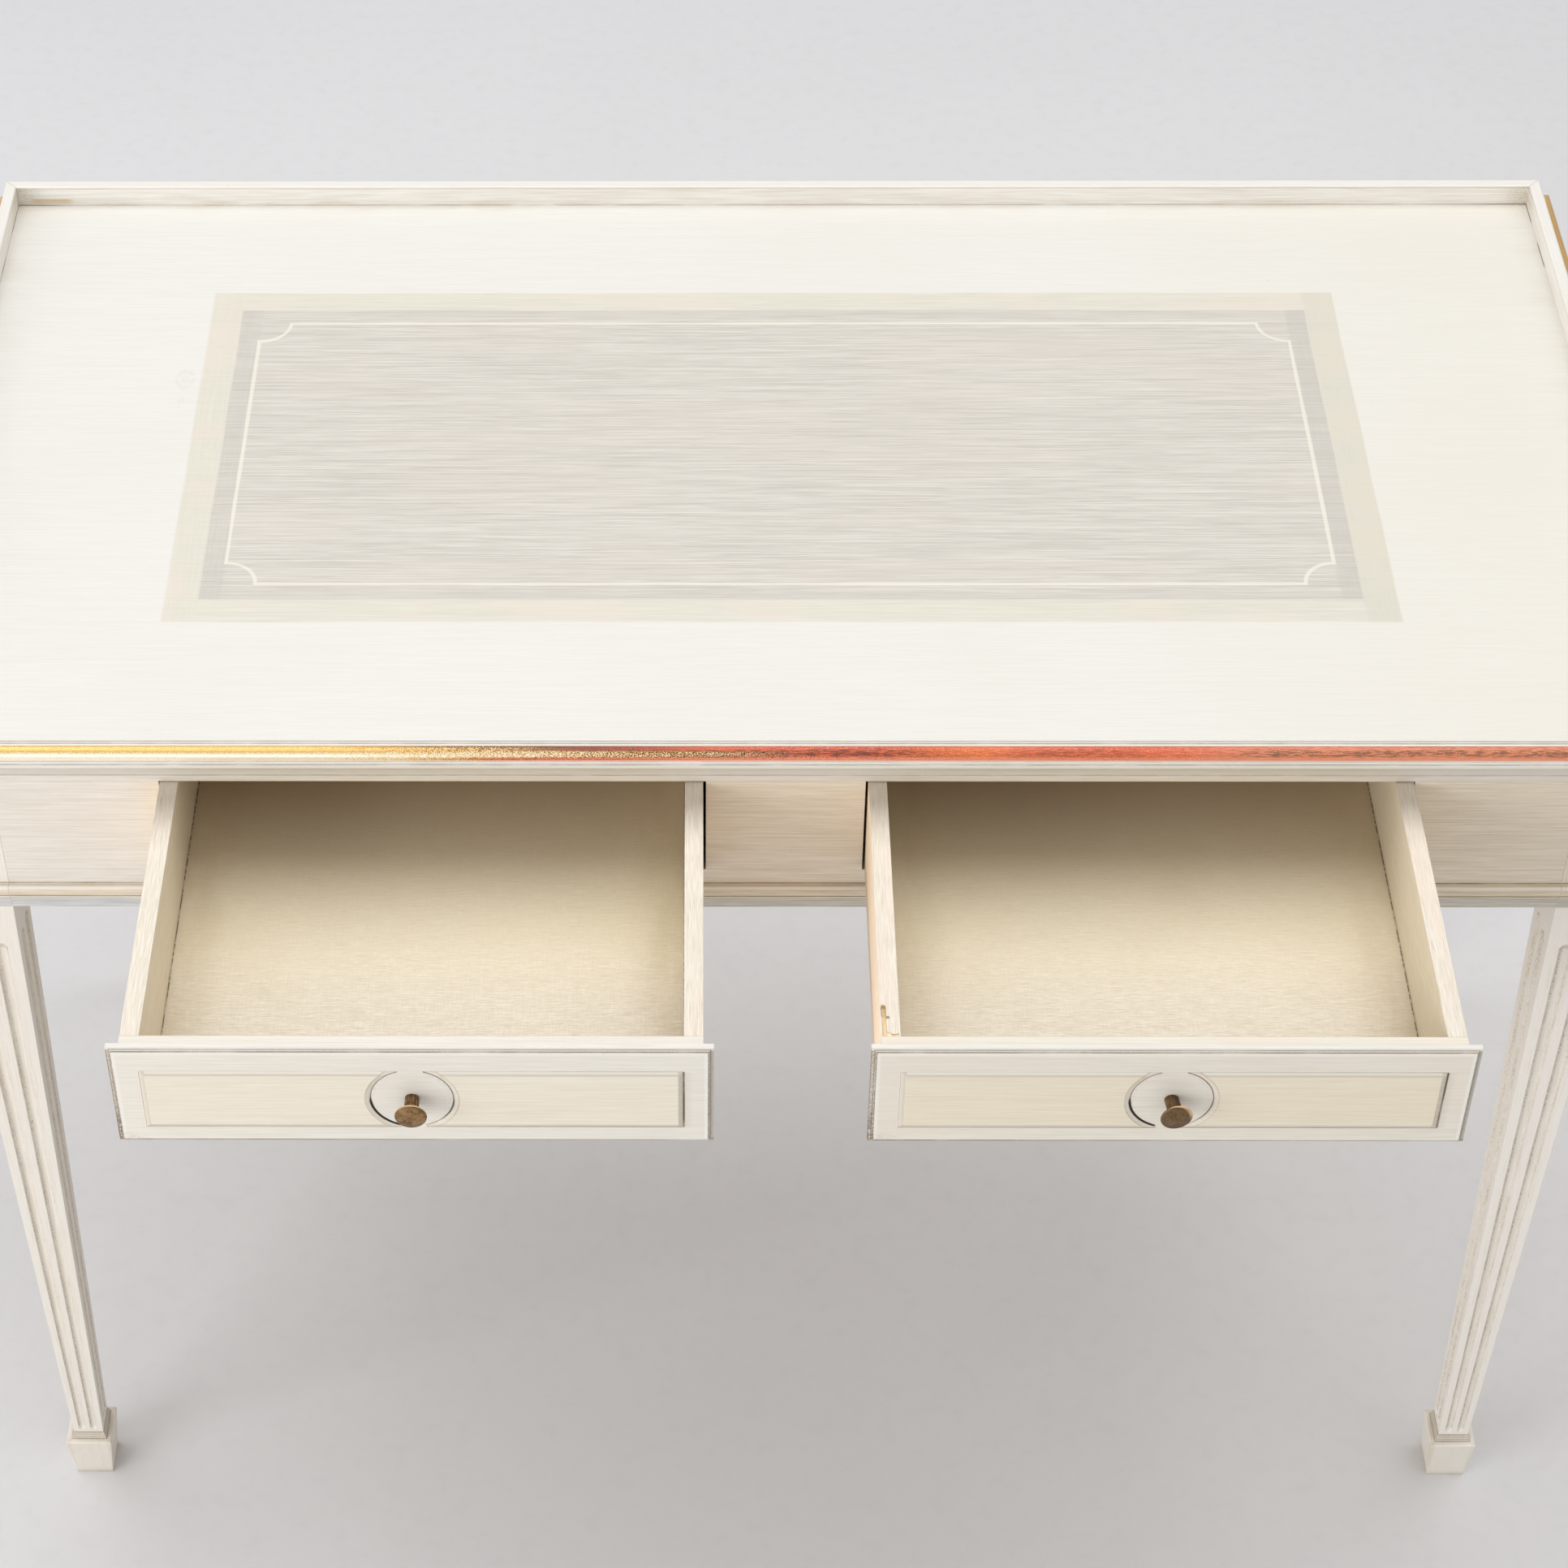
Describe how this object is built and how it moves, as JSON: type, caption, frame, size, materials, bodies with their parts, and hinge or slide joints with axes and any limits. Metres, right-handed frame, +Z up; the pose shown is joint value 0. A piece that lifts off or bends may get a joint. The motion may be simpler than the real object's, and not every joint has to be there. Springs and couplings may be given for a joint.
{
  "type": "writing desk",
  "caption": "Painted wooden writing desk with a low gallery, gilt edge moulding, fluted tapered legs on spade feet, and sliding drawers under the top.",
  "frame": {"origin": "on the floor, under the middle of the object's box as it stands with both drawers drawn out", "axes": "+X to the sitter's right along the desk's length, +Y towards the back, +Z up"},
  "size_m": [1.0874, 0.7813, 0.775],
  "materials": {
    "painted_wood": "brushed antique-white satin paint, rubbed at the edges",
    "painted_top": "brushed antique-white satin paint with a grey writing panel, pale olive band and cream line",
    "gilt_moulding": "worn gilding over red bole between off-white fillets",
    "drawer_wood": "thin cream wash over pale softwood",
    "raw_wood": "unfinished pine",
    "aged_brass": "dark aged brass",
    "steel": "dull zinc"
  },
  "bodies": {
    "desk_frame": {"top_panel": "painted_top", "gallery_back": "painted_wood", "gallery_left": "painted_wood", "gallery_right": "painted_wood", "edge_moulding_front": "gilt_moulding", "edge_moulding_back": "gilt_moulding", "edge_moulding_left": "gilt_moulding", "edge_moulding_right": "gilt_moulding", "leg_front_left": "painted_wood", "leg_front_right": "painted_wood", "leg_back_left": "painted_wood", "leg_back_right": "painted_wood", "foot_front_left": "painted_wood", "foot_front_right": "painted_wood", "foot_back_left": "painted_wood", "foot_back_right": "painted_wood", "front_rail_upper": "painted_wood", "front_rail_lower": "painted_wood", "front_stile_left": "painted_wood", "front_stile_centre": "painted_wood", "front_stile_right": "painted_wood", "apron_left": "painted_wood", "apron_right": "painted_wood", "apron_back": "painted_wood", "runner_left": "raw_wood", "runner_centre": "raw_wood", "runner_right": "raw_wood", "kicker_left": "raw_wood", "kicker_centre": "raw_wood", "kicker_right": "raw_wood", "corner_block_front_left": "raw_wood", "corner_block_front_right": "raw_wood", "corner_block_back_left": "raw_wood", "corner_block_back_right": "raw_wood", "top_screws": "steel"},
    "left_drawer": {"left_drawer_front": "painted_wood", "left_drawer_side_left": "drawer_wood", "left_drawer_side_right": "drawer_wood", "left_drawer_back": "drawer_wood", "left_drawer_bottom": "drawer_wood", "left_drawer_knob": "aged_brass"},
    "right_drawer": {"right_drawer_front": "painted_wood", "right_drawer_side_left": "drawer_wood", "right_drawer_side_right": "drawer_wood", "right_drawer_back": "drawer_wood", "right_drawer_bottom": "drawer_wood", "right_drawer_knob": "aged_brass"}
  },
  "joints": [
    {"name": "left_drawer_slide", "type": "slide", "parent": "desk_frame", "child": "left_drawer", "axis": [0, -1, 0], "range_m": [-0.2116, 0.14]},
    {"name": "right_drawer_slide", "type": "slide", "parent": "desk_frame", "child": "right_drawer", "axis": [0, -1, 0], "range_m": [-0.2116, 0.14]}
  ]
}
